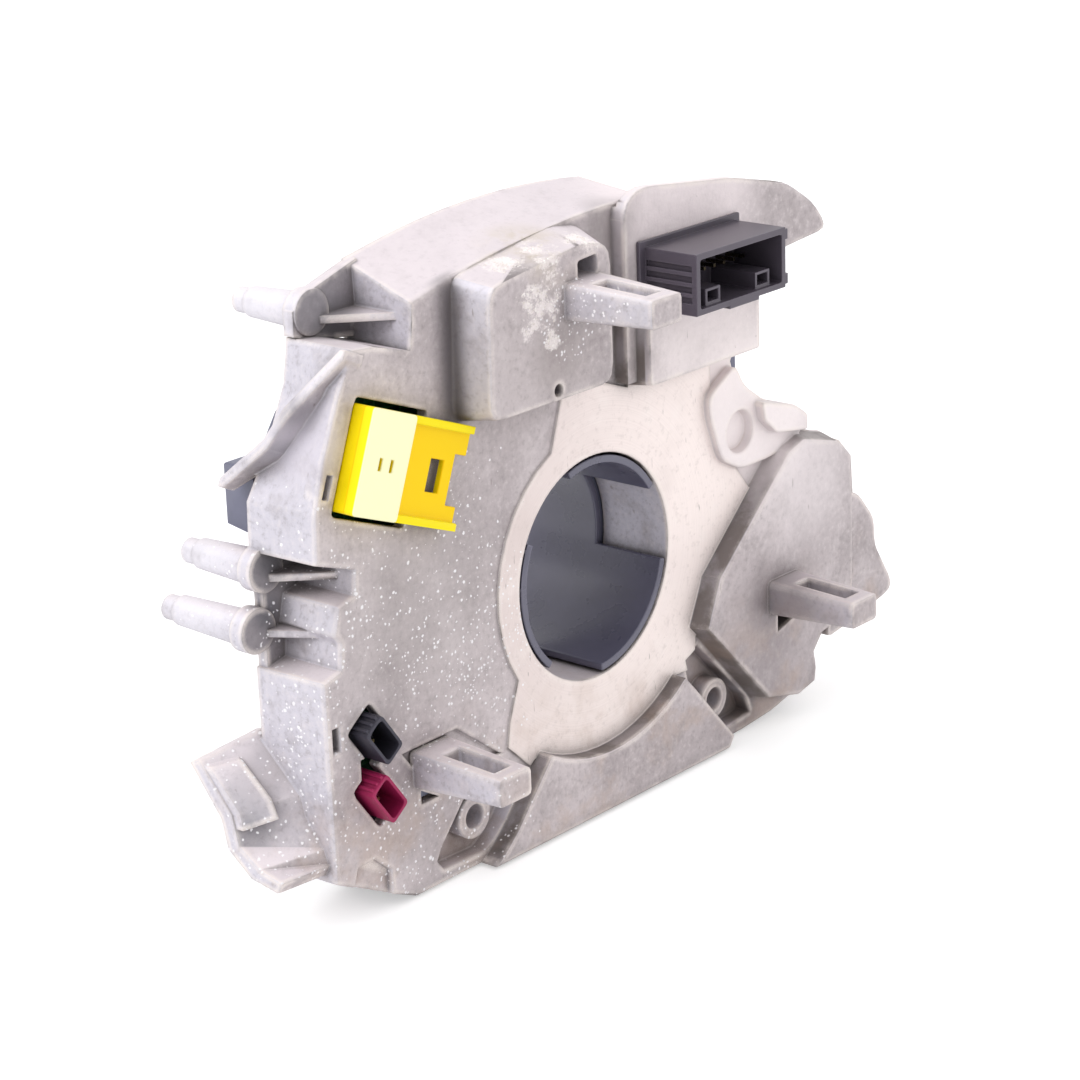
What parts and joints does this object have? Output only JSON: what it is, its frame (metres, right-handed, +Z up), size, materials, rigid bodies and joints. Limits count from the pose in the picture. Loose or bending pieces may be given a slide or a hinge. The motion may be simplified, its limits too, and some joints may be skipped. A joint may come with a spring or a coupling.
{
  "type": "steering column switch module",
  "caption": "Cast module that bolts round a steering column, with a turning rotor in its bore, plug sockets on the rear face and bays for stalk switches.",
  "frame": {"origin": "centre of the bore, in the plane of the housing's rear face", "axes": "+Y along the column's axis towards the steering wheel, +Z up in the vehicle, +X to the right when looking at the rear face"},
  "size_m": [0.2263, 0.0867, 0.1508],
  "materials": {
    "cast_metal": "sand-blasted casting, dull, with pale oxide specks",
    "black_plastic": "satin",
    "navy_plastic": "satin",
    "yellow_plastic": "satin",
    "maroon_plastic": "satin",
    "brass_pins": "bright",
    "green_board": "lacquered",
    "chip_plastic": "matt",
    "steel_screws": "zinc plated",
    "dark_plastic": "satin",
    "amber_film": "glossy film",
    "rotor_plastic": "semi-gloss"
  },
  "bodies": {
    "module": {"housing": "cast_metal", "main_plug": "black_plastic", "main_plug_pins": "brass_pins", "yellow_socket": "yellow_plastic", "yellow_socket_pins": "brass_pins", "black_socket": "navy_plastic", "maroon_socket": "maroon_plastic", "small_socket_pins": "brass_pins", "circuit_board": "green_board", "board_chips": "chip_plastic", "board_screws": "steel_screws", "sensor_fork": "chip_plastic", "carrier": "dark_plastic", "carrier_screws": "steel_screws", "stalk_contacts": "dark_plastic", "slip_ring_case": "dark_plastic", "flat_cable": "amber_film", "case_cover": "dark_plastic", "case_screws": "steel_screws"},
    "rotor": {"sleeve": "rotor_plastic", "rotor_hub": "rotor_plastic", "code_ring": "dark_plastic", "front_yellow_plug": "yellow_plastic", "front_black_plug": "black_plastic", "front_plug_pins": "brass_pins"}
  },
  "joints": [
    {"name": "rotor_turn", "type": "hinge", "parent": "module", "child": "rotor", "pos_m": [0, 0, 0], "axis": [0, 1, 0], "range_deg": [-900, 900]}
  ]
}
